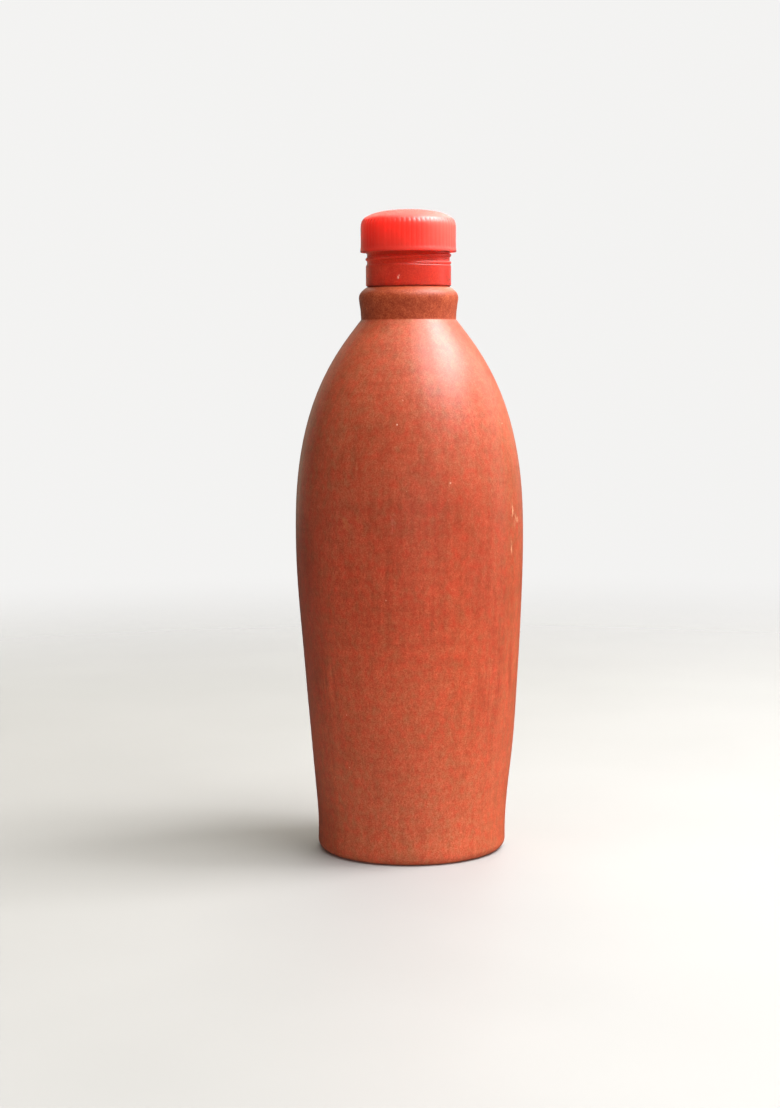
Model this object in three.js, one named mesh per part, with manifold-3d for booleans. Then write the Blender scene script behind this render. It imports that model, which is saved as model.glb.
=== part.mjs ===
// Clay water bottle: a burnished terracotta vessel with a plastic screw neck bonded into
// its clay collar, and a ribbed screw cap with a foam liner.
//
// Millimetres, +Z up. The origin is the centre of the base, on the surface the bottle
// stands on, and +Z is the axis of the vessel, the thread and the cap.

import * as THREE from 'three';
import { mergeVertices } from 'three/addons/utils/BufferGeometryUtils.js';
import Module from 'manifold-3d';

// ---------------------------------------------------------------- driving dimensions

const SIDES = 32;                 // facets round every turned piece
const GAP = 0.3;                  // space left between neighbouring pieces

// clay vessel
const FOOT_OUTER = 38.1;          // flat ring that the bottle stands on
const FOOT_INNER = 29;
const FOOT_RECESS = 0.8;          // height of the hollow inside the foot ring
const FOOT_FILLET = 4;            // rounding between foot and wall
const FLOOR_TOP = 9;              // inside floor of the vessel
const NECK_BORE = 16.9;           // radius of the clay neck, inside
const NECK_BORE_BOTTOM = 229.6;   // where the shoulder's inside runs into the neck
const RIM_Z = 249.0;              // top of the clay rim
const RIM_FLAT = 18.2;            // outer radius of the flat on top of the rim

// outside of the clay above the foot fillet, [radius, height]
const BODY_OUTSIDE = [
  [42.1, 12], [42.9, 24], [44.0, 36], [45.5, 54], [46.8, 72], [48.06, 90], [49.26, 108],
  [50.2, 126], [50.55, 138], [50.55, 145], [50.2, 156], [49.14, 168], [47.23, 180],
  [44.29, 192], [40.04, 204], [34.1, 216], [30.4, 222], [26.1, 228], [21.6, 233.8],
];
const COLLAR_OUTSIDE = [
  [20.9, 235.0], [21.0, 237.5], [21.35, 240.2], [21.75, 242.6], [21.85, 244.1],
  [21.6, 245.7], [20.85, 247.0], [19.6, 248.2],
];
// inside of the clay, about 6.5 mm behind the outside, [radius, height]
const BODY_INSIDE = [
  [23.5, FLOOR_TOP], [30, 11], [34.2, 15.5], [36.3, 24], [38.5, 48], [41.1, 84],
  [43.4, 120], [44.05, 141], [43.7, 156], [42.6, 168], [40.6, 180], [37.5, 192],
  [33, 204], [29, 212], [24, 220], [19.6, 226],
];

// screw thread, right-handed, one start
const PITCH = 3.2;
const THREAD_CREST = 18.8;        // sleeve, outside
const THREAD_ROOT = 18.0;
const CAP_THREAD_CREST = 18.35;   // cap, inside
const CAP_BORE = 19.3;

// plastic neck sleeve; heights are above the clay rim
const SLEEVE_BORE = 13.5;
const SPIGOT_RADIUS = 15.3;       // part glued into the clay neck
const SPIGOT_DEPTH = 16.3;
const SHOULDER_Z = 0.9;           // underside of the shoulder over the rim
const BAND_RADIUS = 18.7;         // plain band between shoulder and thread
const BAND_TOP = 9.1;
const LAND_Z = 26.3;              // sealing land at the mouth
const THREAD_Z = 7.3;             // height of the thread's centre line at turn 0, on +X
const THREAD_TURNS = [0.75, 5.2]; // first and last turn; it rises out of the band's top edge

// adhesive ring between sleeve and clay; heights are above the clay rim
const SEALANT_INNER = SPIGOT_RADIUS + GAP;
const SEALANT_OUTER = NECK_BORE - GAP;
const SEALANT_DEPTH = 15.3;
const SEALANT_FLANGE = 18.2;      // lip of adhesive squeezed out on top of the rim
const SEALANT_FLANGE_Z = [GAP, 0.6];

// screw cap, closed; heights are above the lower edge of its skirt
const CAP_Z = 264.1;              // that lower edge, above the base
const CAP_HEIGHT = 18.6;
const RIBS = 60;
const RIB_CREST = 20.95;
const RIB_ROOT = 20.6;
const LIP_RADIUS = 21.1;
const LIP_TOP = 1.0;
const RIB_TOP = 12.0;             // the ribs end where the dome's rounding begins
const CEILING_Z = 13.1;           // ledge that the liner bears on
const CEILING_INNER = 15.2;
// outside of the cap's top, [radius, height]
const DOME = [
  [20.95, RIB_TOP], [20.75, 12.9], [20.35, 13.85], [19.65, 14.75], [18.45, 15.6], [16.5, 16.5],
  [13.6, 17.4], [9, 18.15], [4.5, 18.5], [0, CAP_HEIGHT],
];
const DOME_INSIDE = [[CEILING_INNER, CEILING_Z], [14.6, 15.0], [9, 16.4], [0, 16.9]];
const CAP_THREAD_TURNS = [2.3, 4.65];

// foam liner; heights as for the cap
const LINER_RADIUS = 18.9;
const LINER_Z = [11.5, 12.8];

// ---------------------------------------------------------------- solids

const wasm = await Module();
wasm.setup();

// Closed solid from a geometry: welds shared vertices, drops triangles that collapse on
// the axis, and turns the faces outward.
function solid(geometry) {
  const open = geometry.clone();
  for (const name of Object.keys(open.attributes)) {
    if (name !== 'position') open.deleteAttribute(name);
  }
  const welded = mergeVertices(open, 1e-4);
  const p = welded.getAttribute('position').array;
  const index = welded.getIndex().array;
  const tris = [];
  let volume = 0;
  for (let i = 0; i < index.length; i += 3) {
    const [a, b, c] = [index[i], index[i + 1], index[i + 2]];
    if (a === b || b === c || c === a) continue;
    tris.push(a, b, c);
    const A = new THREE.Vector3().fromArray(p, a * 3);
    const B = new THREE.Vector3().fromArray(p, b * 3);
    const C = new THREE.Vector3().fromArray(p, c * 3);
    volume += A.dot(B.cross(C)) / 6;
  }
  if (volume < 0) {
    for (let i = 0; i < tris.length; i += 3) [tris[i + 1], tris[i + 2]] = [tris[i + 2], tris[i + 1]];
  }
  return new wasm.Manifold(new wasm.Mesh({
    numProp: 3,
    vertProperties: new Float32Array(p),
    triVerts: new Uint32Array(tris),
  }));
}

// Solid of revolution about +Z. A profile that leaves the axis free closes on itself.
function turned(profile, sides = SIDES) {
  const points = profile.map(([r, z]) => new THREE.Vector2(r, z));
  const onAxis = points[0].x === 0 && points[points.length - 1].x === 0;
  if (!onAxis) points.push(points[0].clone());
  return solid(new THREE.LatheGeometry(points, sides).rotateX(Math.PI / 2));
}

// Helical ridge. `section` holds [axial, radius] points of the thread form; the ends of
// the ridge run out to `sunk`, a radius inside the wall that carries it.
function ridge(section, z0, [from, to], sunk) {
  const shape = new THREE.Shape(section.map(([a, r]) => new THREE.Vector2(a, r)));
  const steps = Math.round((to - from) * SIDES);
  const g = new THREE.ExtrudeGeometry(shape, { depth: to - from, steps, bevelEnabled: false });
  const p = g.getAttribute('position');
  const runOut = 0.16;
  for (let i = 0; i < p.count; i++) {
    const t = from + p.getZ(i);
    const end = Math.min(t - from, to - t) / runOut;
    const full = Math.min(1, 0.03 + Math.max(0, end));
    const r = sunk + (p.getY(i) - sunk) * full;
    const angle = 2 * Math.PI * t;
    p.setXYZ(i, r * Math.cos(angle), r * Math.sin(angle), z0 + p.getX(i) + PITCH * t);
  }
  return solid(g);
}

function mesh(name, body, material) {
  const m = body.getMesh();
  const g = new THREE.BufferGeometry();
  const xyz = new Float32Array((m.vertProperties.length / m.numProp) * 3);
  for (let i = 0; i < xyz.length / 3; i++) {
    for (let k = 0; k < 3; k++) xyz[i * 3 + k] = m.vertProperties[i * m.numProp + k];
  }
  g.setAttribute('position', new THREE.BufferAttribute(xyz, 3));
  g.setIndex(new THREE.BufferAttribute(new Uint32Array(m.triVerts), 1));
  g.computeVertexNormals();
  const made = new THREE.Mesh(g, material);
  made.name = name;
  return made;
}

// ---------------------------------------------------------------- clay vessel

const fillet = [];
for (let i = 1; i <= 3; i++) {
  const a = (i / 3) * Math.PI / 2;
  fillet.push([FOOT_OUTER + FOOT_FILLET * Math.sin(a), FOOT_FILLET * (1 - Math.cos(a))]);
}
const clayBody = turned([
  [0, FOOT_RECESS], [FOOT_INNER - 2, FOOT_RECESS], [FOOT_INNER, 0], [FOOT_OUTER, 0],
  ...fillet,
  ...BODY_OUTSIDE,
  ...COLLAR_OUTSIDE,
  [RIM_FLAT, RIM_Z], [NECK_BORE + 0.3, RIM_Z], [NECK_BORE, RIM_Z - 0.3],
  [NECK_BORE, NECK_BORE_BOTTOM],
  ...[...BODY_INSIDE].reverse(),
  [0, FLOOR_TOP],
]);

// ---------------------------------------------------------------- neck sleeve

const sleeveBlank = turned([
  [SLEEVE_BORE, -SPIGOT_DEPTH], [SPIGOT_RADIUS - 0.3, -SPIGOT_DEPTH],
  [SPIGOT_RADIUS, -SPIGOT_DEPTH + 0.4], [SPIGOT_RADIUS, SHOULDER_Z],
  [BAND_RADIUS - 0.2, SHOULDER_Z], [BAND_RADIUS, SHOULDER_Z + 0.3],
  [BAND_RADIUS, BAND_TOP], [THREAD_ROOT, BAND_TOP + 0.8],
  [THREAD_ROOT, LAND_Z - 0.7], [THREAD_ROOT - 0.6, LAND_Z],
  [SLEEVE_BORE + 0.4, LAND_Z], [SLEEVE_BORE, LAND_Z - 0.4],
]);
const sleeveRidge = ridge(
  [[-0.95, THREAD_ROOT - 0.4], [0.95, THREAD_ROOT - 0.4], [0.35, THREAD_CREST], [-0.35, THREAD_CREST]],
  THREAD_Z, THREAD_TURNS, THREAD_ROOT - 0.5,
);
const neckSleeve = sleeveBlank.add(sleeveRidge);

// ---------------------------------------------------------------- adhesive ring

const sleeveSealant = turned([
  [SEALANT_INNER, -SEALANT_DEPTH], [SEALANT_OUTER, -SEALANT_DEPTH],
  [SEALANT_OUTER, SEALANT_FLANGE_Z[0]], [SEALANT_FLANGE, SEALANT_FLANGE_Z[0]],
  [SEALANT_FLANGE, SEALANT_FLANGE_Z[1]], [SEALANT_INNER, SEALANT_FLANGE_Z[1]],
]);

// ---------------------------------------------------------------- screw cap

const capCore = turned([
  [0, 0], [LIP_RADIUS - 0.2, 0], [LIP_RADIUS, 0.2], [LIP_RADIUS, LIP_TOP],
  [RIB_ROOT, LIP_TOP + 0.5], [RIB_ROOT, DOME[0][1]],
  ...DOME,
]);
const gear = [];
for (let i = 0; i < RIBS; i++) {
  for (const [part, r] of [[-0.32, RIB_ROOT - 0.2], [-0.18, RIB_CREST], [0.18, RIB_CREST], [0.32, RIB_ROOT - 0.2]]) {
    const a = ((i + part) / RIBS) * 2 * Math.PI;
    gear.push(new THREE.Vector2(r * Math.cos(a), r * Math.sin(a)));
  }
}
const ribs = solid(new THREE.ExtrudeGeometry(new THREE.Shape(gear), {
  depth: RIB_TOP - LIP_TOP + 0.4, steps: 1, bevelEnabled: false,
}).translate(0, 0, LIP_TOP - 0.4));
const capInside = turned([
  [0, -1], [CAP_BORE + 1.0, -1], [CAP_BORE, 0.5], [CAP_BORE, CEILING_Z],
  ...DOME_INSIDE,
]);
const capThreadZ = RIM_Z + THREAD_Z + PITCH / 2 - CAP_Z;   // half a pitch above the sleeve's ridge
const capRidge = ridge(
  [[-0.3, CAP_THREAD_CREST], [0.3, CAP_THREAD_CREST], [0.75, CAP_BORE + 0.4], [-0.75, CAP_BORE + 0.4]],
  capThreadZ, CAP_THREAD_TURNS, CAP_BORE + 0.5,
);
const screwCap = capCore.add(ribs).subtract(capInside).add(capRidge);

// ---------------------------------------------------------------- liner

const capLiner = turned([
  [0, LINER_Z[0]], [LINER_RADIUS - 0.2, LINER_Z[0]], [LINER_RADIUS, LINER_Z[0] + 0.2],
  [LINER_RADIUS, LINER_Z[1] - 0.2], [LINER_RADIUS - 0.2, LINER_Z[1]], [0, LINER_Z[1]],
]);

// ---------------------------------------------------------------- scene graph

const clay = new THREE.MeshStandardMaterial({ color: 0xb9563d, roughness: 0.55, metalness: 0 });
const redSleeve = new THREE.MeshStandardMaterial({ color: 0xc0281f, roughness: 0.35, metalness: 0 });
const redCap = new THREE.MeshStandardMaterial({ color: 0xe8321f, roughness: 0.3, metalness: 0 });
const foam = new THREE.MeshStandardMaterial({ color: 0xf1ece2, roughness: 0.8, metalness: 0 });
const adhesive = new THREE.MeshStandardMaterial({ color: 0x5a2a20, roughness: 0.6, metalness: 0 });

const bottle = new THREE.Group();
bottle.add(mesh('clay_body', clayBody, clay));

const neck = new THREE.Group();
neck.position.z = RIM_Z;
neck.add(mesh('neck_sleeve', neckSleeve, redSleeve));
neck.add(mesh('sleeve_sealant', sleeveSealant, adhesive));
bottle.add(neck);

const closure = new THREE.Group();
closure.position.z = CAP_Z;
closure.add(mesh('screw_cap', screwCap, redCap));
closure.add(mesh('cap_liner', capLiner, foam));
bottle.add(closure);

export default bottle;
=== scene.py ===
"""Looks of a clay water bottle: burnished terracotta body, red moulded screw neck, ribbed red screw cap.

Every piece is built here as a fine mesh, in metres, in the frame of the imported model: origin at the centre of
the base, +Z up along the bottle's axis, the viewer on the -Y side.
"""

import math

import bpy
import numpy as np
from mathutils import Matrix, Vector


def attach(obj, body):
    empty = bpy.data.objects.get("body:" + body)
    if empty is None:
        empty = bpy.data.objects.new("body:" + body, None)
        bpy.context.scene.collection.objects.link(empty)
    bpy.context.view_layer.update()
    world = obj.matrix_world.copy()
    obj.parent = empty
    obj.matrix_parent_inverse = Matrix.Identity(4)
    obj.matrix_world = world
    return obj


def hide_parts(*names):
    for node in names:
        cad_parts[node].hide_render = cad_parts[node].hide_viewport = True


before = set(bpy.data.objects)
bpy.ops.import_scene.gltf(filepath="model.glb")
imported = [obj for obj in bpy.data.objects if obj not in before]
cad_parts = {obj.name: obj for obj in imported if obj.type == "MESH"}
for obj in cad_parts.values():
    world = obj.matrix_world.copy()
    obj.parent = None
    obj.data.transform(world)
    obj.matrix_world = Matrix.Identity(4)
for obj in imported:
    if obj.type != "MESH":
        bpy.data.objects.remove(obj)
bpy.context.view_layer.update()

MM = 0.001
TAU = 2 * math.pi

# ------------------------------------------------------------------ dimensions, millimetres

RIM_Z = 249.0          # top of the clay rim
CAP_Z = 264.1          # lower edge of the closed cap
PITCH = 3.2            # screw thread
THREAD_Z = 256.3       # thread's centre line at turn 0, on +X
CAP_THREAD_Z = THREAD_Z + PITCH / 2

# outside of the clay body, height: radius
BODY = [
    (4, 41.80), (12, 41.80), (18, 42.07), (24, 42.54), (30, 43.12), (36, 43.74), (42, 44.35), (48, 44.90),
    (54, 45.41), (60, 45.88), (66, 46.33), (72, 46.76), (78, 47.18), (84, 47.60), (90, 48.02), (96, 48.43),
    (102, 48.83), (108, 49.21), (114, 49.56), (120, 49.87), (126, 50.11), (132, 50.28), (138, 50.36),
    (144, 50.36), (150, 50.26), (156, 50.04), (162, 49.64), (168, 49.04), (174, 48.22), (180, 47.17),
    (186, 45.86), (192, 44.26), (198, 42.33), (204, 40.02), (210, 37.29), (216, 34.09), (222, 30.37),
    (228, 26.12), (233.8, 21.70),
]
# collar and rim, (radius, height)
COLLAR = [
    (20.88, 235.0), (20.93, 236.6), (21.12, 238.8), (21.42, 241.0), (21.68, 242.8), (21.77, 244.1),
    (21.67, 245.2), (21.35, 246.1), (20.80, 246.9), (20.1, 247.6), (19.3, 248.27), (18.75, 248.68),
    (18.2, 248.92),
]
# the axis of the hand-made body wanders a little, height: sideways shift
LEAN = [
    (0, 0.05), (15, 0.25), (28, 0.32), (47, 0.62), (71, 0.50), (93, 0.30), (110, 0.02), (126, -0.16), (150, -0.20),
    (180, -0.18), (210, -0.12), (234, -0.03), (249, 0.0),
]
INSIDE = [
    (16.9, 229.6), (19.6, 226), (24, 220), (29, 212), (33, 204), (37.5, 192), (40.6, 180), (42.6, 168),
    (43.7, 156), (44.05, 141), (43.4, 120), (41.1, 84), (38.5, 48), (36.3, 24), (34.2, 15.5), (30, 11),
    (23.5, 9.0),
]


# ------------------------------------------------------------------ mesh helpers

def natural_spline(points):
    """Natural cubic spline through (x, y) points, as a function."""
    x, y = np.array(points, float).T
    n = len(x)
    h = np.diff(x)
    a = np.eye(n)
    b = np.zeros(n)
    for i in range(1, n - 1):
        a[i, i - 1], a[i, i], a[i, i + 1] = h[i - 1], 2 * (h[i - 1] + h[i]), h[i]
        b[i] = 6 * ((y[i + 1] - y[i]) / h[i] - (y[i] - y[i - 1]) / h[i - 1])
    m = np.linalg.solve(a, b)

    def f(t):
        t = np.asarray(t, float)
        i = np.clip(np.searchsorted(x, t) - 1, 0, n - 2)
        u, v = x[i + 1] - t, t - x[i]
        return (m[i] * u**3 + m[i + 1] * v**3) / (6 * h[i]) + (y[i] / h[i] - m[i] * h[i] / 6) * u + (
            y[i + 1] / h[i] - m[i + 1] * h[i] / 6
        ) * v

    return f


def smooth_path(points, step):
    """Points about `step` apart on a centripetal Catmull-Rom curve through `points`."""
    p = np.array(points, float)
    p = np.vstack([2 * p[0] - p[1], p, 2 * p[-1] - p[-2]])
    out = []
    for i in range(1, len(p) - 2):
        p0, p1, p2, p3 = p[i - 1 : i + 3]
        t0 = 0.0
        t1 = t0 + math.sqrt(np.linalg.norm(p1 - p0))
        t2 = t1 + math.sqrt(np.linalg.norm(p2 - p1))
        t3 = t2 + math.sqrt(np.linalg.norm(p3 - p2))
        k = max(1, int(round(np.linalg.norm(p2 - p1) / step)))
        for t in np.linspace(t1, t2, k, endpoint=False):
            a1 = (t1 - t) / (t1 - t0) * p0 + (t - t0) / (t1 - t0) * p1
            a2 = (t2 - t) / (t2 - t1) * p1 + (t - t1) / (t2 - t1) * p2
            a3 = (t3 - t) / (t3 - t2) * p2 + (t - t2) / (t3 - t2) * p3
            b1 = (t2 - t) / (t2 - t0) * a1 + (t - t0) / (t2 - t0) * a2
            b2 = (t3 - t) / (t3 - t1) * a2 + (t - t1) / (t3 - t1) * a3
            out.append((t2 - t) / (t2 - t1) * b1 + (t - t1) / (t2 - t1) * b2)
    out.append(p[-2])
    return np.array(out)


def straight(a, b, step):
    a, b = np.array(a, float), np.array(b, float)
    k = max(1, int(round(np.linalg.norm(b - a) / step)))
    return a + (b - a) * np.linspace(0, 1, k + 1)[:, None]


def arc(centre, radius, start, end, count):
    t = np.radians(np.linspace(start, end, count))
    return np.stack([centre[0] + radius * np.cos(t), centre[1] + radius * np.sin(t)], 1)


def chain(*parts):
    """One profile from several, without doubled points."""
    out = [np.array(parts[0][0], float)]
    for part in parts:
        for q in part:
            if np.linalg.norm(np.array(q) - out[-1]) > 1e-4:
                out.append(np.array(q, float))
    return np.array(out)


def step(x, low, high):
    t = np.clip((np.asarray(x, float) - low) / (high - low), 0, 1)
    return t * t * (3 - 2 * t)


def angles(count):
    return np.arange(count) / count * TAU


def skin(name, x, y, z, ring, attributes=None):
    """A closed mesh from rows of points round the axis, in millimetres. With `ring` the last row joins the first;
    otherwise the first and last rows are single points on the axis. Rows run so that the faces point outward."""
    rows, cols = x.shape
    pts = np.stack([x, y, z], -1) * MM
    if ring:
        verts = pts.reshape(-1, 3)
        index = np.arange(rows * cols).reshape(rows, cols)
        a, b = index, np.roll(index, -1, 0)
    else:
        inner = pts[1:-1].reshape(-1, 3)
        verts = np.vstack([pts[0].mean(0)[None], inner, pts[-1].mean(0)[None]])
        index = 1 + np.arange((rows - 2) * cols).reshape(rows - 2, cols)
        a, b = index[:-1], index[1:]
    quads = np.stack([a, np.roll(a, -1, 1), np.roll(b, -1, 1), b], -1).reshape(-1, 4)
    faces = quads.tolist()
    if not ring:
        first, last, top = index[0], index[-1], len(verts) - 1
        faces += [[0, int(first[(j + 1) % cols]), int(first[j])] for j in range(cols)]
        faces += [[int(last[j]), int(last[(j + 1) % cols]), top] for j in range(cols)]
    mesh = bpy.data.meshes.new(name)
    mesh.from_pydata(verts.tolist(), [], faces)
    mesh.update()
    mesh.polygons.foreach_set("use_smooth", np.ones(len(mesh.polygons), bool))
    mesh.set_sharp_from_angle(angle=math.radians(38))
    for key, values in (attributes or {}).items():
        full = np.broadcast_to(values, (rows, cols))
        flat = full.reshape(-1) if ring else np.concatenate([full[0, :1], full[1:-1].reshape(-1), full[-1, :1]])
        layer = mesh.attributes.new(key, "FLOAT", "POINT")
        layer.data.foreach_set("value", np.ascontiguousarray(flat, np.float32))
    mesh.validate()
    obj = bpy.data.objects.new(name, mesh)
    bpy.context.scene.collection.objects.link(obj)
    return obj


def thread_height(theta, z, z0, first, last, root, crest, run):
    """Share of full thread height at an angle and a height: 1 on the ridge's crest, 0 between ridges."""
    turn = theta / TAU
    k = np.round((z - z0) / PITCH - turn)
    tau = k + turn
    d = np.abs(z - (z0 + PITCH * tau))
    flank = np.clip((root - d) / (root - crest), 0, 1)
    flank = flank * flank * (3 - 2 * flank)
    return flank * step(tau, first, first + run) * step(-tau, -last, -last + run)


# ------------------------------------------------------------------ clay body

def make_clay():
    body = natural_spline(BODY)
    cols = 192
    th = angles(cols)[None, :]

    r_under = np.arange(0, 27.01, 0.9)
    under = np.stack([r_under, 0.8 + 0.10 * np.cos(r_under * TAU / 3.6) * step(r_under, 0.5, 4) - 0.05], 1)
    foot = chain(straight((27.6, 0.72), (28.8, 0.06), 0.5), straight((29.4, 0.0), (37.8, 0.0), 2.2))
    fillet = arc((37.8, 4.0), 4.0, -90, 0, 11)
    zs = np.concatenate([np.arange(5.2, 226, 1.25), np.arange(226.5, 233.6, 0.6), [233.8]])
    wall = np.stack([body(zs), zs], 1)
    seam = np.array([(21.15, 234.45), (20.93, 234.75)])
    collar = smooth_path(COLLAR, 0.5)
    lip = np.array([(17.6, 249.0), (17.2, 248.98), (16.98, 248.85), (16.9, 248.65)])
    bore = straight((16.9, 247.7), (16.9, 230.2), 1.6)
    cavity = smooth_path(INSIDE, 2.4)
    floor = straight((22.5, 9.0), (0, 9.0), 2.0)
    profile = chain(under, foot, fillet, wall, seam, collar, lip, bore, cavity, floor)
    r, z = profile[:, :1], profile[:, 1:]
    n = len(profile)
    i_wall = int(np.argmin(np.abs(profile[:, 1] - 4.0) + 100 * (np.abs(profile[:, 0] - 41.8) > 0.2)))
    i_seam = int(np.argmin(np.hypot(profile[:, 0] - 20.93, profile[:, 1] - 234.75)))
    i_rim = int(np.argmin(np.hypot(profile[:, 0] - 17.2, profile[:, 1] - 248.98)))
    row = np.arange(n)[:, None]
    outside = ((row >= i_wall - 8) & (row <= i_seam)).astype(float)
    collar_row = ((row > i_seam) & (row <= i_rim)).astype(float)
    inside = (row > i_rim).astype(float)
    under_row = (row < i_wall - 8).astype(float)

    # slow out-of-round and bow of a hand-made pot, dying out at the foot and at the collar's rim
    free = step(z, 1, 24) * (1 - step(z, 214, 246))
    wob = free * (0.06 * np.cos(2 * th + 0.9 + z * 0.011) + 0.04 * np.cos(3 * th - 1.7 + z * 0.019))
    # shallow facets left by the burnishing stone, which was drawn up and down the wall
    strokes = sum(
        amp * np.cos(k * th + ph + z * dr)
        for k, amp, ph, dr in ((23, 0.016, 0.4, 0.010), (31, 0.014, 2.1, -0.013), (47, 0.010, 4.4, 0.021),
                               (58, 0.007, 1.3, -0.026), (71, 0.006, 5.2, 0.017))
    ) * free
    # what is left of the throwing rings
    rings = free * 0.012 * np.sin(z * TAU / 5.3 + 0.7 * np.cos(th))
    rough = collar_row * (
        0.030 * np.cos(9 * th + z * 0.7) + 0.026 * np.cos(17 * th - z * 0.9 + 1.0) + 0.020 * np.cos(29 * th + z * 1.6)
    ) * step(z, 235.6, 237) * (1 - step(z, 247.2, 249))
    spiral = inside * step(z, 12, 30) * (1 - step(z, 222, 230)) * 0.30 * np.sin(z * TAU / 6.5 - th)
    rr = r + outside * (wob + strokes + rings) + rough - spiral
    bow = natural_spline(LEAN)(z) * (1 - step(z, 228, 246) * inside)
    x, y, zz = rr * np.cos(th) + bow, rr * np.sin(th), z + 0 * th
    obj = skin(
        "clay_bottle", x, y, zz, False,
        {"burnish": outside, "collar": collar_row, "inside": inside, "under": under_row},
    )
    return obj


# ------------------------------------------------------------------ plastic neck, adhesive

def make_sleeve():
    th = angles(240)[None, :]
    crest, root, band = 18.76, 18.12, 18.66
    profile = chain(
        straight((13.5, 232.9), (14.8, 232.72), 0.6),
        arc((14.9, 233.12), 0.4, -80, 0, 5),
        straight((15.3, 233.7), (15.3, 249.3), 1.2),
        straight((15.45, 249.48), (18.3, 249.48), 0.6),
        arc((band - 0.2, 249.68), 0.2, -90, 0, 6),
        straight((band, 250.2), (band, 257.9), 0.5),
        smooth_path([(band, 258.0), (band - 0.10, 258.3), (root + 0.12, 258.8), (root, 259.1)], 0.14),
        straight((root, 259.22), (root, 273.9), 0.14),
        arc((root - 0.7, 274.55), 0.7, 0, 90, 8),
        straight((17.0, 275.27), (14.3, 275.27), 0.5),
        arc((14.2, 274.57), 0.7, 90, 180, 8),
        straight((13.5, 273.5), (13.5, 233.9), 1.4),
    )
    r, z = profile[:, :1], profile[:, 1:]
    outer = (r > 17.0) & (z > 257.4) & (z < 274.5)
    h = thread_height(th, z + 0 * th, THREAD_Z, 0.74, 5.2, 0.95, 0.24, 0.10)
    rr = np.where(outer, np.maximum(r, root + (crest - root) * h), r + 0 * th)
    # moulding parting line, left and right, and a faint sink round the band
    seam = 0.03 * np.exp(-((np.abs(((th + math.pi / 2) % math.pi) - math.pi / 2) * 18.7 / 0.16) ** 2))
    on_band = step(z, 249.8, 250.6) * (1 - step(z, 257.2, 258.0)) * (r > 17.5)
    rr = rr + on_band * (seam - 0.02 * np.sin((z - 249.8) / 8.2 * math.pi))
    obj = skin(
        "neck_sleeve_moulded", rr * np.cos(th), rr * np.sin(th), z + 0 * th, True,
        {"thread": np.where(outer, h, 0.0), "band": on_band + 0 * th, "bore": (r < 15.0) * 1.0 + 0 * th},
    )
    return obj


def make_sealant():
    th = angles(160)[None, :]
    bead = 0.10 * np.cos(5 * th + 0.6) + 0.07 * np.cos(11 * th + 2.0) + 0.05 * np.cos(23 * th + 4.0)
    profile = chain(
        straight((15.42, 233.9), (16.6, 233.72), 0.3),
        straight((16.72, 234.1), (16.78, 248.3), 1.6),
        straight((16.9, 249.0), (17.8, 249.02), 0.25),
        arc((17.95, 249.25), 0.22, -90, 90, 9),
        straight((17.7, 249.47), (15.5, 249.47), 0.4),
        straight((15.42, 249.2), (15.42, 235.0), 1.6),
    )
    r, z = profile[:, :1], profile[:, 1:]
    edge = step(r, 17.5, 18.1)
    rr = r + edge * bead * 0.7
    return skin("sleeve_adhesive", rr * np.cos(th), rr * np.sin(th), z + 0 * th, True)


# ------------------------------------------------------------------ cap and liner

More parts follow.
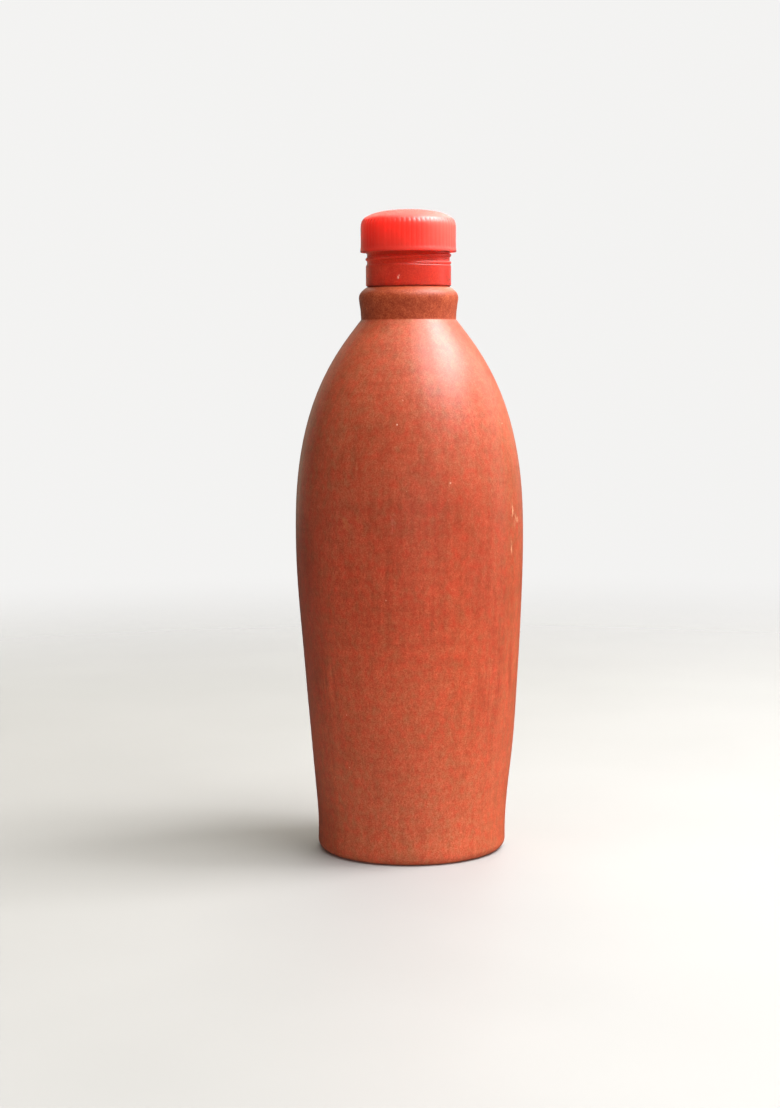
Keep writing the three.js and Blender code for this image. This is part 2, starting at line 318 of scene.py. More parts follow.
def make_cap():
    ribs = 60
    # columns crowd into the grooves
    share = np.array([0.0, 0.17, 0.32, 0.41, 0.46, 0.50, 0.54, 0.59, 0.68, 0.83])
    th = ((np.arange(ribs)[:, None] + share[None, :]).reshape(1, -1) / ribs) * TAU
    z0 = CAP_Z
    dome_in = smooth_path([(0, 281.0), (5, 280.84), (9, 280.4), (13.2, 279.5), (14.4, 279.05)], 1.2)
    ledge = chain(
        np.array([(14.75, 278.6), (14.95, 277.9), (15.15, 277.35), (15.4, 277.2)]),
        straight((15.6, 277.2), (18.7, 277.2), 0.8),
        arc((18.9, 276.8), 0.4, 90, 0, 5),
    )
    bore = straight((19.3, 276.6), (19.3, 265.3), 0.24)
    mouth = np.array([(19.36, 265.0), (19.5, 264.7), (19.7, 264.42), (19.98, 264.2)])
    bottom = chain(
        straight((20.2, 264.12), (20.74, 264.12), 0.2),
        arc((20.80, 264.34), 0.22, -90, -8, 6),
    )
    lip = smooth_path([(21.02, 264.5), (21.02, 264.9), (20.99, 265.3), (20.92, 265.75)], 0.2)
    skirt = smooth_path([(20.86, 266.2), (20.82, 268.0), (20.82, 270.2), (20.84, 272.2), (20.86, 274.0),
                         (20.83, 275.2), (20.76, 276.0)], 0.55)
    corner = smooth_path([(20.66, 276.6), (20.46, 277.25), (20.14, 277.9), (19.68, 278.5), (19.08, 279.05),
                          (18.4, 279.50), (17.5, 279.97), (16.5, 280.42), (15.2, 280.90), (13.6, 281.36),
                          (11.2, 281.86), (8.5, 282.22), (5, 282.53), (1.6, 282.66), (0, 282.68)], 0.5)
    profile = chain(dome_in, ledge, bore, mouth, bottom, lip, skirt, corner)
    r, z = profile[:, :1], profile[:, 1:]
    n = len(profile)
    i_out = int(np.argmin(np.hypot(profile[:, 0] - 21.02, profile[:, 1] - 264.5)))
    row = np.arange(n)[:, None]
    outside = row >= i_out
    # grip: broad ridges parted by narrow rounded grooves, running out into the lip and the dome's shoulder
    u = (th / TAU * ribs) % 1.0
    d = np.abs(u - 0.5)
    groove = np.exp(-((d / 0.15) ** 2))
    crown = 0.05 * np.cos(u * TAU)
    reach = step(z, 265.5, 266.1) * (1 - step(z, 277.7, 278.3))
    heel = step(z, 276.4, 277.1)
    grip = np.where(outside, reach * (-(0.06 + 0.15 * heel) * groove + crown * 0.15), 0.0)
    wall = (~outside) & (np.abs(r - 19.3) < 0.02)
    h = thread_height(th, z + 0 * th, CAP_THREAD_Z, 2.3, 4.65, 0.78, 0.28, 0.16)
    ridge = np.where(wall, 0.95 * h, 0.0)
    # gate mark in the middle of the dome: a flat dimple with a small nib
    gate = np.where(outside & (r < 2.4), -0.16 * (1 - step(r, 1.3, 2.0)) + 0.14 * (1 - step(r, 0.35, 0.7)), 0.0)
    rr = r + grip - ridge
    obj = skin(
        "screw_cap_ribbed", rr * np.cos(th), rr * np.sin(th), z + gate + 0 * th, False,
        {
            "groove": np.where(outside, reach * groove, 0.0),
            "heel": np.where(outside, reach * groove * heel, 0.0),
            "lip": np.where(outside, 1 - step(z, 265.4, 266.0), 0.0) + 0 * th,
            "outside": outside * 1.0 + 0 * th,
        },
    )
    return obj


def make_liner():
    th = angles(144)[None, :]
    profile = chain(
        straight((0, 275.62), (13.0, 275.62), 1.3),
        # ring pressed into the foam by the sealing land
        smooth_path([(13.3, 275.63), (13.8, 275.70), (14.5, 275.76), (16.9, 275.76), (17.4, 275.70), (17.9, 275.63)], 0.3),
        straight((18.2, 275.62), (18.55, 275.62), 0.2),
        arc((18.55, 275.92), 0.3, -90, 0, 5),
        arc((18.55, 276.58), 0.3, 0, 90, 5),
        straight((18.2, 276.88), (0, 276.88), 1.4),
    )
    r, z = profile[:, :1], profile[:, 1:]
    edge = step(r, 18.3, 18.8) * (0.03 * np.cos(7 * th) + 0.02 * np.cos(19 * th + 1.0))
    rr = r + edge
    press = (step(r, 13.2, 14.2) * (1 - step(r, 17.2, 18.0))) * (z < 276)
    return skin("cap_foam_liner", rr * np.cos(th), rr * np.sin(th), z + 0 * th, False, {"press": press + 0 * th})


# ------------------------------------------------------------------ materials

class Graph:
    """A small builder for a material whose Principled shader is fed by procedural nodes."""

    def __init__(self, name):
        self.material = bpy.data.materials.new(name)
        self.material.use_nodes = True
        self.tree = self.material.node_tree
        self.tree.nodes.clear()
        out = self.tree.nodes.new("ShaderNodeOutputMaterial")
        self.shader = self.tree.nodes.new("ShaderNodeBsdfPrincipled")
        self.tree.links.new(self.shader.outputs[0], out.inputs[0])
        self.coords = self.tree.nodes.new("ShaderNodeTexCoord").outputs["Object"]

    def put(self, socket, value):
        if isinstance(value, bpy.types.NodeSocket):
            self.tree.links.new(value, socket)
        elif isinstance(value, (tuple, list)) and len(value) == 3 and socket.type == "RGBA":
            socket.default_value = (*value, 1.0)
        else:
            socket.default_value = value

    def set(self, **values):
        for key, value in values.items():
            self.put(self.shader.inputs[key.replace("_", " ")], value)

    def math(self, op, a, b=None, c=None, clamp=False):
        n = self.tree.nodes.new("ShaderNodeMath")
        n.operation, n.use_clamp = op, clamp
        for s, v in zip(n.inputs, (a, b, c)):
            if v is not None:
                self.put(s, v)
        return n.outputs[0]

    def add(self, *values):
        total = values[0]
        for v in values[1:]:
            total = self.math("ADD", total, v)
        return total

    def mul(self, *values):
        total = values[0]
        for v in values[1:]:
            total = self.math("MULTIPLY", total, v)
        return total

    def span(self, value, a, b, c=0.0, d=1.0, smooth=True):
        n = self.tree.nodes.new("ShaderNodeMapRange")
        n.interpolation_type = "SMOOTHSTEP" if smooth else "LINEAR"
        n.clamp = True
        for s, v in zip(n.inputs, (value, a, b, c, d)):
            self.put(s, v)
        return n.outputs[0]

    def scaled(self, scale, offset=(0, 0, 0)):
        n = self.tree.nodes.new("ShaderNodeMapping")
        self.put(n.inputs["Vector"], self.coords)
        n.inputs["Scale"].default_value = scale
        n.inputs["Location"].default_value = offset
        return n.outputs[0]

    def noise(self, scale, detail=2.0, rough=0.5, vector=None, distortion=0.0):
        n = self.tree.nodes.new("ShaderNodeTexNoise")
        self.put(n.inputs["Vector"], vector if vector is not None else self.coords)
        n.inputs["Scale"].default_value = scale
        n.inputs["Detail"].default_value = detail
        n.inputs["Roughness"].default_value = rough
        n.inputs["Distortion"].default_value = distortion
        return n.outputs[0]

    def cells(self, scale, vector=None):
        n = self.tree.nodes.new("ShaderNodeTexVoronoi")
        self.put(n.inputs["Vector"], vector if vector is not None else self.coords)
        n.inputs["Scale"].default_value = scale
        return n.outputs["Distance"], n.outputs["Color"]

    def channel(self, colour, name="Red"):
        n = self.tree.nodes.new("ShaderNodeSeparateColor")
        self.put(n.inputs[0], colour)
        return n.outputs[name]

    def mix(self, share, a, b, blend="MIX"):
        n = self.tree.nodes.new("ShaderNodeMix")
        n.data_type, n.blend_type, n.clamp_factor = "RGBA", blend, True
        self.put(n.inputs[0], share)
        self.put(n.inputs[6], a)
        self.put(n.inputs[7], b)
        return n.outputs[2]

    def ramp(self, value, stops):
        n = self.tree.nodes.new("ShaderNodeValToRGB")
        self.put(n.inputs[0], value)
        e = n.color_ramp.elements
        while len(e) < len(stops):
            e.new(0.5)
        for el, (pos, colour) in zip(e, stops):
            el.position = pos
            el.color = (*colour, 1.0)
        return n.outputs[0]

    def attribute(self, name):
        n = self.tree.nodes.new("ShaderNodeAttribute")
        n.attribute_name = name
        return n.outputs["Fac"]

    def axis(self, name):
        n = self.tree.nodes.new("ShaderNodeSeparateXYZ")
        self.put(n.inputs[0], self.coords)
        return n.outputs[name]

    def blot(self, centre, size, soft=0.5, jitter=None):
        """1 inside an ellipsoid at `centre` with half sizes `size`, in millimetres, fading to 0 outside it."""
        sub = self.tree.nodes.new("ShaderNodeVectorMath")
        sub.operation = "SUBTRACT"
        self.put(sub.inputs[0], self.coords)
        sub.inputs[1].default_value = [c * MM for c in centre]
        mul = self.tree.nodes.new("ShaderNodeVectorMath")
        mul.operation = "MULTIPLY"
        self.put(mul.inputs[0], sub.outputs[0])
        mul.inputs[1].default_value = [1 / (s * MM) for s in size]
        length = self.tree.nodes.new("ShaderNodeVectorMath")
        length.operation = "LENGTH"
        self.put(length.inputs[0], mul.outputs[0])
        d = length.outputs["Value"]
        if jitter is not None:
            d = self.add(d, jitter)
        return self.span(d, 1.0, soft)

    def bump(self, height, strength, distance, normal=None):
        n = self.tree.nodes.new("ShaderNodeBump")
        n.inputs["Strength"].default_value = strength
        n.inputs["Distance"].default_value = distance
        self.put(n.inputs["Height"], height)
        if normal is not None:
            self.put(n.inputs["Normal"], normal)
        return n.outputs[0]


def clay_material():
    g = Graph("burnished_terracotta")
    burnish, collar = g.attribute("burnish"), g.attribute("collar")
    inside, under = g.attribute("inside"), g.attribute("under")
    z = g.axis("Z")

    broad = g.noise(13, 2, 0.5)
    mottle = g.noise(70, 4, 0.6, g.scaled((1, 1, 0.55)))
    tone = g.add(g.mul(broad, 0.72), g.mul(mottle, 0.28))
    colour = g.ramp(tone, [
        (0.30, (0.4167, 0.0600, 0.0210)), (0.50, (0.4625, 0.0720, 0.0262)), (0.70, (0.5083, 0.0866, 0.0333)),
    ])
    # colour changes with height: redder and darker round the belly, paler towards the foot and the shoulder
    height = g.math("DIVIDE", g.add(z, g.mul(g.math("SUBTRACT", broad, 0.5), 0.045)), 0.25)
    colour = g.mix(burnish, colour, g.mix(1.0, colour, g.ramp(height, [
        (0.00, (1.04, 1.26, 1.33)), (0.16, (1.08, 1.27, 1.32)), (0.34, (1.11, 1.16, 1.17)), (0.50, (0.995, 0.965, 1.02)),
        (0.61, (0.862, 0.905, 1.04)), (0.71, (0.885, 1.06, 1.24)), (0.82, (0.985, 1.26, 1.48)), (1.00, (1.00, 1.18, 1.27)),
    ]), "MULTIPLY"))
    # painted warm light: the right side, where the light falls, is painted a little more orange
    painted_warm_light_right = g.mul(burnish, g.blot((52, -20, 135), (26, 46, 130), 0.2))
    colour = g.mix(painted_warm_light_right, colour, g.mix(1.0, colour, (0.95, 1.12, 1.03), "MULTIPLY"))
    # painted shade: the side away from the light, on the left, is painted darker
    drift = g.mul(g.math("SUBTRACT", broad, 0.5), 0.8)
    painted_shade_left = g.mul(burnish, g.blot((-56, 8, 122), (32, 62, 104), 0.25, drift))
    colour = g.mix(painted_shade_left, colour, g.mix(1.0, colour, (0.78, 0.82, 0.89), "MULTIPLY"))
    # painted shade: darker patches on the front of the wall, low on the right and on the left
    painted_shade_low_right = g.mul(burnish, g.blot((41, -26, 88), (23, 32, 70), 0.2, drift))
    colour = g.mix(painted_shade_low_right, colour, g.mix(1.0, colour, (0.88, 0.85, 0.88), "MULTIPLY"))
    painted_shade_patches = g.add(g.mul(g.blot((-43, -24, 112), (15, 18, 50), 0.2, drift), 0.9), g.blot((29, -40, 127), (11, 12, 25), 0.2, drift))
    colour = g.mix(g.mul(burnish, painted_shade_patches), colour, g.mix(1.0, colour, (0.86, 0.86, 0.89), "MULTIPLY"))
    # vertical strokes of the burnishing stone
    fine = g.noise(430, 3, 0.65, g.scaled((1, 1, 0.045)))
    wide = g.noise(150, 2, 0.5, g.scaled((1, 1, 0.06), (0.3, 0.1, 0.2)))
    where = g.span(g.noise(16, 2, 0.5, g.scaled((1, 1, 0.8), (0.7, 0.2, 0.4))), 0.42, 0.66)
    low = g.mul(g.span(z, 0.030, 0.070), g.span(z, 0.150, 0.105))
    patch = g.math("ADD", g.blot((39, -25, 78), (14, 15, 22), 0.3), g.blot((-37, -29, 76), (13, 15, 24), 0.3), clamp=True)
    stroke_share = g.mul(burnish, g.add(g.mul(where, 0.26), g.mul(low, where, 0.20), g.mul(patch, 0.95), 0.22))
    streak = g.add(g.mul(fine, 0.65), g.mul(wide, 0.35))
    colour = g.mix(stroke_share, colour, g.mix(
        1.0, colour, g.ramp(streak, [(0.36, (0.72, 0.60, 0.56)), (0.52, (1, 1, 1)), (0.68, (1.10, 1.18, 1.20))]), "MULTIPLY"))
    # fine grain of the clay: red and ochre mottling, each going its own way, then grain by grain
    hue = g.noise(400, 1.5, 0.60, g.scaled((1, 1, 0.8), (0.11, 0.05, 0.02)))
    colour = g.mix(1.0, colour, g.ramp(hue, [
        (0.30, (1.02, 0.82, 0.80)), (0.50, (1, 1, 1)), (0.70, (0.98, 1.17, 1.18))]), "MULTIPLY")
    patchy = g.noise(300, 1.5, 0.60, g.scaled((1, 1, 0.7), (0.2, 0.6, 0.1)))
    colour = g.mix(1.0, colour, g.ramp(patchy, [
        (0.30, (0.88, 1.03, 1.02)), (0.50, (1, 1, 1)), (0.70, (1.11, 0.98, 0.99))]), "MULTIPLY")
    blotch = g.noise(1000, 3, 0.6, g.scaled((1, 1, 0.7), (0.4, 0.3, 0.6)))
    colour = g.mix(1.0, colour, g.ramp(blotch, [
        (0.34, (0.93, 0.86, 0.80)), (0.50, (1, 1, 1)), (0.66, (1.07, 1.14, 1.20))]), "MULTIPLY")
    grain = g.noise(1900, 2, 0.65)
    colour = g.mix(1.0, colour, g.ramp(grain, [
        (0.30, (0.81, 0.62, 0.46)), (0.50, (1, 1, 1)), (0.70, (1.15, 1.38, 1.58))]), "MULTIPLY")
    # faint turning lines round the wall
    lathe = g.noise(330, 3, 0.6, g.scaled((0.05, 0.05, 1), (0.15, 0.35, 0.25)))
    colour = g.mix(g.mul(burnish, 0.55), colour, g.mix(1.0, colour, g.ramp(lathe, [
        (0.34, (0.92, 0.88, 0.86)), (0.50, (1, 1, 1)), (0.66, (1.06, 1.09, 1.10))]), "MULTIPLY"))
    d1, c1 = g.cells(115)
    pale = g.mul(g.span(d1, 0.050, 0.020), g.span(g.channel(c1), 0.80, 0.82))
    d2, c2 = g.cells(170, g.scaled((1, 1, 1), (0.31, 0.17, 0.05)))
    dark = g.mul(g.span(d2, 0.060, 0.025), g.span(g.channel(c2), 0.72, 0.74))
    colour = g.mix(g.mul(pale, 0.55), colour, (0.78, 0.36, 0.22))
    colour = g.mix(g.mul(dark, 0.45), colour, (0.20, 0.030, 0.014))

    # unburnished clay: collar, inside, underside
    wheel = g.noise(600, 3, 0.6, g.scaled((0.12, 0.12, 1)))
    speck = g.noise(1250, 3, 0.7, g.scaled((1, 1, 1), (0.5, 0.8, 0.3)))
    raw = g.ramp(g.add(g.mul(wheel, 0.04), g.mul(mottle, 0.22), g.mul(hue, 0.26), g.mul(speck, 0.28), g.mul(grain, 0.20)), [
        (0.38, (0.275, 0.0350, 0.0098)), (0.50, (0.362, 0.0535, 0.0154)), (0.62, (0.456, 0.0797, 0.0248)),
    ])
    raw = g.mix(1.0, raw, g.ramp(speck, [
        (0.36, (0.91, 0.79, 0.68)), (0.50, (1, 1, 1)), (0.64, (1.08, 1.22, 1.36))]), "MULTIPLY")
    raw = g.mix(1.0, raw, g.ramp(grain, [
        (0.32, (0.88, 0.76, 0.62)), (0.50, (1, 1, 1)), (0.68, (1.10, 1.26, 1.42))]), "MULTIPLY")
    rim = g.span(z, 0.2458, 0.2482)
    # painted highlight: the rim's top is painted paler, more so towards the right
    raw = g.mix(g.mul(collar, rim, g.span(g.axis("X"), -0.004, 0.018, 0.22, 0.75)), raw, (0.515, 0.108, 0.045))
    # painted light: the collar is painted paler on its lit right side, and a painted reflection makes its left side
    # greyer
    raw = g.mix(g.mul(collar, g.span(g.axis("X"), 0.010, 0.021)), raw, g.mix(1.0, raw, (1.10, 1.22, 1.28), "MULTIPLY"))
    raw = g.mix(g.mul(collar, g.span(g.axis("X"), -0.010, -0.020)), raw, g.mix(1.0, raw, (1.03, 1.20, 1.42), "MULTIPLY"))
    raw = g.mix(g.add(g.mul(inside, 0.35), g.mul(under, 0.45)), raw, (0.56, 0.190, 0.105))
    bare = g.math("SUBTRACT", 1.0, burnish, clamp=True)
    colour = g.mix(bare, colour, raw)

    # scuffs and rubbed spots
    ragged = g.mul(g.math("SUBTRACT", g.noise(700, 4, 0.7, g.scaled((1, 1, 0.45))), 0.5), 2.6)
    dashes = g.span(g.noise(1300, 2, 0.6, g.scaled((1, 1, 0.12))), 0.46, 0.64)
    smear = g.mul(g.blot((-6.3, -50, 147.4), (3.2, 6, 7.5), 0.0, ragged), dashes, 0.12)
    scuff = g.mul(dashes, g.add(
        g.mul(g.blot((44.4, -23.4, 152.8), (1.5, 2.6, 3.4), 0.2, ragged), 0.85),
        g.mul(g.blot((46.0, -20.3, 147.6), (1.4, 2.6, 3.4), 0.2, ragged), 0.75),
        g.mul(g.blot((44.1, -24.6, 136.2), (0.9, 1.7, 3.6), 0.2, ragged), 0.6),
    ))
    spot = g.add(
        g.mul(g.blot((-5.1, -44.4, 190.4), (0.42, 2, 0.50), 0.3), 0.75),
        g.mul(g.blot((-2.6, -41.3, 200.5), (0.32, 2, 0.38), 0.3), 0.35),
        g.mul(g.blot((40.2, -19.9, 189.8), (0.8, 0.8, 0.40), 0.3), 0.45),
        g.mul(g.blot((17.2, -46.3, 165.8), (0.50, 2, 0.50), 0.3), 0.45),
    )
    ochre = g.add(
        g.mul(g.blot((-27.9, -42.1, 147.6), (3.6, 5, 5.0), 0.0, ragged), 0.36),
        g.mul(g.blot((-22.1, -45.3, 151.2), (2.2, 4, 3.4), 0.0, ragged), 0.30),
    )
    colour = g.mix(g.mul(ochre, g.span(hue, 0.42, 0.62)), colour, (0.58, 0.19, 0.060))
    colour = g.mix(smear, colour, (0.74, 0.30, 0.22))
    colour = g.mix(g.math("ADD", scuff, 0.0, clamp=True), colour, (0.86, 0.45, 0.25))
    colour = g.mix(g.math("ADD", spot, 0.0, clamp=True), colour, (0.92, 0.58, 0.42))
    # painted contact shade: the wall darkens towards the floor round the foot, which is also a little rougher there
    foot = g.mul(burnish, g.span(g.add(z, g.mul(mottle, 0.004)), 0.0045, 0.0015))
    colour = g.mix(g.mul(foot, 0.55), colour, (0.15, 0.030, 0.016))

    polish = g.add(0.39, g.mul(g.math("SUBTRACT", streak, 0.5), 0.22), g.mul(g.math("SUBTRACT", mottle, 0.5), 0.10),
                   g.mul(g.math("ADD", smear, scuff, clamp=True), 0.15), g.mul(foot, 0.2))
    roughness = g.add(g.mul(polish, burnish), g.mul(bare, g.add(0.50, g.mul(wheel, 0.14))), g.mul(collar, rim, -0.16),
                      g.mul(g.add(inside, under), 0.15))
    height = g.add(
        g.mul(grain, g.add(0.10, g.mul(bare, 0.45))),
        g.mul(streak, stroke_share, 0.55),
        g.mul(wheel, bare, 0.05), g.mul(speck, bare, 0.30),
        g.mul(dark, -0.5),
        g.mul(g.noise(320, 3, 0.55), 0.22),
    )
    g.set(Base_Color=colour, Roughness=roughness, Normal=g.bump(height, 0.55, 0.00022))
    g.set(IOR=1.5, Specular_IOR_Level=0.43, Diffuse_Roughness=0.25)
    return g.material


def cap_material():
    g = Graph("cap_red_plastic")
    groove, heel, lip = g.attribute("groove"), g.attribute("heel"), g.attribute("lip")
    cloud = g.noise(60, 3, 0.5)
    colour = g.ramp(cloud, [(0.32, (0.950, 0.031, 0.019)), (0.50, (0.965, 0.036, 0.022)), (0.68, (0.975, 0.043, 0.027))])
    # painted shade: the skirt is painted darker low down, standing in for light through the translucent dome that
    # fades where the sleeve stands close behind it
    colour = g.mix(g.span(g.axis("Z"), 0.276, 0.2655), colour, g.mix(1.0, colour, (0.84, 0.91, 0.92), "MULTIPLY"))
    # painted shade: the grooves, and most of all their upper ends, are painted darker
    colour = g.mix(g.mul(groove, 0.03), colour, (0.70, 0.024, 0.014))
    colour = g.mix(g.mul(heel, 0.45), colour, (0.55, 0.016, 0.010))
    # painted highlight: the plain lip is painted a little paler
    colour = g.mix(g.mul(lip, 0.25), colour, (0.92, 0.070, 0.045))
    # painted sheen: the right side, towards the light, is painted paler, most of all high up
    painted_sheen_right = g.mul(g.span(g.axis("X"), 0.000, 0.020), g.span(g.axis("Z"), 0.262, 0.276, 0.45, 1.0))
    colour = g.mix(g.mul(painted_sheen_right, 0.66), colour, (0.965, 0.105, 0.075))
    speck = g.span(g.noise(2600, 2, 0.5), 0.66, 0.78)
    colour = g.mix(g.mul(speck, 0.22), colour, (0.95, 0.22, 0.16))
    scratch = g.noise(900, 3, 0.6, g.scaled((1, 0.12, 0.5)))
    # the crown is rubbed a little duller than the skirt
    roughness = g.add(0.41, g.mul(g.math("SUBTRACT", scratch, 0.5), 0.16), g.mul(g.math("SUBTRACT", cloud, 0.5), 0.10),
                      g.mul(g.span(g.axis("Z"), 0.2785, 0.2812), 0.15))
    peel = g.noise(520, 2, 0.5)
    g.set(Base_Color=colour, Roughness=roughness, Normal=g.bump(g.add(g.mul(peel, 0.6), g.mul(scratch, 0.25)), 0.25, 0.00012))
    # translucent plastic: light that falls on the dome glows on down the skirt
    g.shader.subsurface_method = "BURLEY"
    g.set(IOR=1.49, Specular_IOR_Level=0.95, Subsurface_Weight=1.0, Subsurface_Scale=0.022)
    g.shader.inputs["Subsurface Radius"].default_value = (1.0, 0.20, 0.15)
    return g.material


def sleeve_material():
    g = Graph("sleeve_red_plastic")
    ridge, band = g.attribute("thread"), g.attribute("band")
    cloud = g.noise(75, 3, 0.5)
    colour = g.ramp(cloud, [(0.32, (0.480, 0.0183, 0.0078)), (0.50, (0.530, 0.0233, 0.0095)), (0.68, (0.575, 0.0292, 0.0130))])
    turned = g.noise(500, 2, 0.6, g.scaled((0.06, 0.06, 1)))
    colour = g.mix(g.mul(band, g.span(turned, 0.50, 0.72), 0.20), colour, (0.65, 0.05, 0.03333))
    colour = g.mix(g.mul(ridge, 0.25), colour, (0.6667, 0.05, 0.03333))
    dust = g.noise(1500, 2, 0.6)
    colour = g.mix(1.0, colour, g.ramp(dust, [
        (0.34, (0.90, 0.72, 0.70)), (0.50, (1, 1, 1)), (0.66, (1.08, 1.45, 1.55))]), "MULTIPLY")
    # painted reflection: the side away from the light, on the left, is painted paler and greyer
    painted_reflection_left = g.mul(g.span(g.axis("X"), -0.006, -0.018), g.span(cloud, 0.30, 0.55, 0.6, 1.0))
    colour = g.mix(painted_reflection_left, colour, g.mix(1.0, colour, (1.36, 2.15, 2.25), "MULTIPLY"))
    ragged = g.mul(g.math("SUBTRACT", dust, 0.5), 1.0)
    nick = g.math("ADD", g.blot((-4.4, -18.2, 252.7), (0.45, 2, 0.85), 0.3, ragged),
                  g.mul(g.blot((-4.0, -18.2, 253.6), (0.22, 2, 0.6), 0.3, ragged), 0.8), clamp=True)
    colour = g.mix(g.mul(nick, 0.85), colour, (0.93, 0.55, 0.46))
    roughness = g.add(0.40, g.mul(g.math("SUBTRACT", turned, 0.5), 0.22), g.mul(nick, 0.2))
    g.set(Base_Color=colour, Roughness=roughness,
          Normal=g.bump(g.add(g.mul(turned, 0.5), g.mul(g.noise(480, 2, 0.5), 0.5), g.mul(nick, -1.5)), 0.25, 0.00012))
    g.shader.subsurface_method = "BURLEY"
    g.set(IOR=1.49, Specular_IOR_Level=0.80, Subsurface_Weight=1.0, Subsurface_Scale=0.002)
    g.shader.inputs["Subsurface Radius"].default_value = (2.2, 0.25, 0.15)
    return g.material


def adhesive_material():
    g = Graph("sleeve_adhesive_brown")
    n = g.noise(420, 4, 0.6)
    colour = g.ramp(n, [(0.35, (0.300, 0.032, 0.018)), (0.55, (0.400, 0.046, 0.026)), (0.75, (0.480, 0.070, 0.040))])
    g.set(Base_Color=colour, Roughness=g.add(0.45, g.mul(n, 0.25)), Normal=g.bump(g.noise(900, 3, 0.6), 0.4, 0.0003))
    g.set(IOR=1.5)
    return g.material


def foam_material():
    g = Graph("liner_white_foam")
    press = g.attribute("press")
    d, c = g.cells(1900)
    colour = g.mix(g.span(d, 0.2, 0.6), (0.80, 0.77, 0.70), (0.90, 0.88, 0.83))
    colour = g.mix(g.mul(press, 0.35), colour, (0.70, 0.62, 0.54))
    stain = g.span(g.noise(120, 3, 0.6), 0.56, 0.74)
    colour = g.mix(g.mul(stain, 0.18), colour, (0.72, 0.50, 0.38))
    g.set(Base_Color=colour, Roughness=g.add(0.62, g.mul(d, 0.2)), Normal=g.bump(d, 0.45, 0.0002))
    g.set(IOR=1.45, Subsurface_Weight=0.15, Subsurface_Scale=0.001)
    return g.material


# ------------------------------------------------------------------ pieces on their bodies

PIECES = [
    (make_clay, clay_material, "bottle", "clay_body", "burnished_clay"),
    (make_sleeve, sleeve_material, "bottle", "neck_sleeve", "sleeve_plastic"),
    (make_sealant, adhesive_material, "bottle", "sleeve_sealant", "adhesive"),
    (make_cap, cap_material, "cap", "screw_cap", "cap_plastic"),
    (make_liner, foam_material, "liner", "cap_liner", "liner_foam"),
]
for make, material, body, node, slot in PIECES:
    piece = make()
    piece.data.materials.append(material())
    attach(piece, body)
    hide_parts(node)


# ------------------------------------------------------------------ stage, light, camera

def make_floor():
    """A pale studio floor that thins out to nothing far from the bottle, so that no horizon shows."""
    g = Graph("studio_floor")
    mesh = bpy.data.meshes.new("studio_floor")
    ring = [0.0378, 0.15, 0.3, 0.5, 0.8, 1.2, 1.7, 2.4]      # open under the foot
    verts, faces, cols = [], [], 96
    for r in ring:
        verts += [(r * math.cos(t), r * math.sin(t), 0.0) for t in angles(cols)]
    for i in range(len(ring) - 1):
        a, b = i * cols, (i + 1) * cols
        faces += [(a + j, b + j, b + (j + 1) % cols, a + (j + 1) % cols) for j in range(cols)]
    mesh.from_pydata(verts, [], faces)
    mesh.update()
    floor = bpy.data.objects.new("studio_floor", mesh)
    bpy.context.scene.collection.objects.link(floor)
    sheet = g.noise(7, 2, 0.5)
    g.set(Base_Color=g.ramp(sheet, [(0.3, (0.365, 0.36, 0.352)), (0.7, (0.385, 0.38, 0.372))]), Roughness=0.55)
    clear = g.tree.nodes.new("ShaderNodeBsdfTransparent")
    blend = g.tree.nodes.new("ShaderNodeMixShader")
    length = g.tree.nodes.new("ShaderNodeVectorMath")
    length.operation = "LENGTH"
    g.put(length.inputs[0], g.coords)
    side = g.tree.nodes.new("ShaderNodeNewGeometry").outputs["Backfacing"]
    g.put(blend.inputs[0], g.mul(g.span(length.outputs["Value"], 1.15, 0.25), g.math("SUBTRACT", 1.0, side)))
    g.tree.links.new(clear.outputs[0], blend.inputs[1])
    g.tree.links.new(g.shader.outputs[0], blend.inputs[2])
    out = next(n for n in g.tree.nodes if n.type == "OUTPUT_MATERIAL")
    g.tree.links.new(blend.outputs[0], out.inputs[0])
    mesh.materials.append(g.material)
    floor.visible_glossy = False
    return floor


def area_light(name, azimuth, elevation, distance, size, power, colour=(1, 1, 1), aim=(0, 0, 0.15), glossy=True,
               diffuse=True):
    """A soft box. Azimuth is measured from the viewer's side, positive to the viewer's right. A box that isn't
    `glossy` only fills, and leaves no highlight; one that isn't `diffuse` is only seen mirrored."""
    a, e = math.radians(azimuth), math.radians(elevation)
    data = bpy.data.lights.new(name, "AREA")
    data.shape = "RECTANGLE"
    data.size, data.size_y = size
    data.energy = power
    data.color = colour
    light = bpy.data.objects.new(name, data)
    target = Vector(aim)
    light.location = target + distance * Vector((math.sin(a) * math.cos(e), -math.cos(a) * math.cos(e), math.sin(e)))
    light.rotation_mode = "QUATERNION"
    light.rotation_quaternion = (target - light.location).to_track_quat("-Z", "Y")
    light.visible_camera = False
    light.visible_glossy = glossy
    light.visible_diffuse = diffuse
    bpy.context.scene.collection.objects.link(light)
    return light


def make_world(ambient, seen):
    world = bpy.data.worlds.new("studio")
    bpy.context.scene.world = world
    world.use_nodes = True
    tree = world.node_tree
    tree.nodes.clear()
    out = tree.nodes.new("ShaderNodeOutputWorld")
    mix = tree.nodes.new("ShaderNodeMixShader")
    path = tree.nodes.new("ShaderNodeLightPath")
    fill = tree.nodes.new("ShaderNodeBackground")
    back = tree.nodes.new("ShaderNodeBackground")
    fill.inputs["Color"].default_value = (*ambient, 1)
    back.inputs["Color"].default_value = (*seen, 1)
    tree.links.new(path.outputs["Is Camera Ray"], mix.inputs[0])
    tree.links.new(fill.outputs[0], mix.inputs[1])
    tree.links.new(back.outputs[0], mix.inputs[2])
    tree.links.new(mix.outputs[0], out.inputs[0])


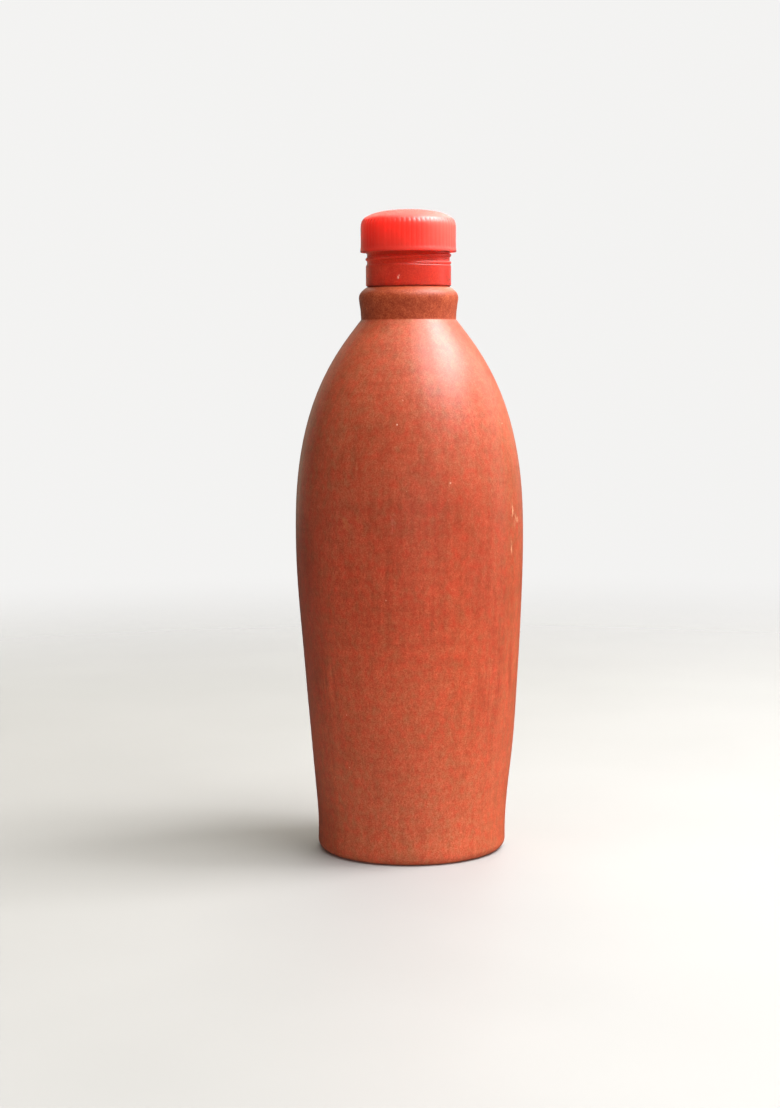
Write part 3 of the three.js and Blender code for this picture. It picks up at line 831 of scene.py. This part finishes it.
floor = make_floor()
make_world(ambient=(0.040, 0.039, 0.038), seen=(0.90, 0.895, 0.885))
area_light("main_soft_box", 52, 58, 1.5, (0.95, 0.95), 23.2)
area_light("key_box", 94, 53, 1.3, (0.53, 0.53), 19.2)
area_light("front_fill", 66, 42, 1.5, (0.75, 0.75), 6.6)
area_light("low_front_fill", 14, 6, 1.6, (1.20, 0.60), 11.4, aim=(0, 0, 0.08), glossy=False)
area_light("right_fill", 122, 30, 1.5, (0.80, 0.80), 4.4)
area_light("right_low", 102, 6, 1.4, (0.50, 0.70), 1.1)
area_light("right_rim", 152, 12, 1.5, (0.80, 0.90), 0.75)
area_light("backdrop", 180, 34, 1.7, (0.90, 0.80), 2.1, (1.0, 0.94, 0.76))
area_light("back_box", 165, 28, 1.7, (0.52, 0.50), 2.8)
area_light("back_right", 138, 50, 1.7, (0.55, 0.55), 1.2)
area_light("back_left", 202, 38, 1.7, (0.65, 0.65), 1.7, (1.0, 0.95, 0.80))
area_light("back_top", 168, 52, 1.5, (0.90, 0.90), 4.8, (1.0, 0.94, 0.78))
area_light("top_box", 180, 80, 1.5, (1.00, 1.00), 6.0, (1.0, 0.95, 0.84))
area_light("left_top", -40, 62, 1.5, (0.80, 0.80), 2.8, glossy=False)
area_light("left_high", -60, 70, 1.6, (0.80, 0.80), 0.9)
area_light("left_rim", -150, 12, 1.5, (0.80, 0.90), 1.08, (1.0, 0.97, 0.72))
area_light("under_fill", 0, -90, 0.9, (1.00, 1.00), 9.0, aim=(0, 0, 0), glossy=False)
# a weak one for the rounding of the heel, which the floor doesn't stop
heel_fill = area_light("heel_fill", 0, -90, 0.9, (0.16, 0.16), 2.0, aim=(0, 0, 0), glossy=False)
see_past = bpy.data.collections.new("see_past")
see_past.objects.link(floor)
see_past.collection_objects[0].light_linking.link_state = "EXCLUDE"
heel_fill.light_linking.blocker_collection = see_past
# the pale floor behind, mirrored at a glancing angle in the lower wall
area_light("floor_right", 0, -90, 0.296, (0.50, 0.80), 0.14, (1.0, 0.93, 0.80), aim=(0.34, 0.36, 0.30), diffuse=False)
area_light("floor_left", 0, -90, 0.296, (0.50, 0.80), 0.07, (1.0, 0.95, 0.85), aim=(-0.34, 0.36, 0.30), diffuse=False)

camera_data = bpy.data.cameras.new("camera")
camera_data.sensor_width = 36.0
camera_data.lens = 2127 / 1108 * 36.0
camera = bpy.data.objects.new("camera", camera_data)
camera.matrix_world = (
    Matrix.Translation((0.0, -0.940, 0.224))
    @ Matrix.Rotation(math.radians(0.538), 4, "Z")
    @ Matrix.Rotation(math.radians(90 - 5.626), 4, "X")
    @ Matrix.Rotation(math.radians(-0.35), 4, "Z")
)
camera_data.clip_start, camera_data.clip_end = 0.01, 50
bpy.context.scene.collection.objects.link(camera)
bpy.context.scene.camera = camera

view = bpy.context.scene.view_settings
view.view_transform = "Standard"
view.look = "None"
view.exposure = 0.0
view.gamma = 1.0

bpy.context.view_layer.update()
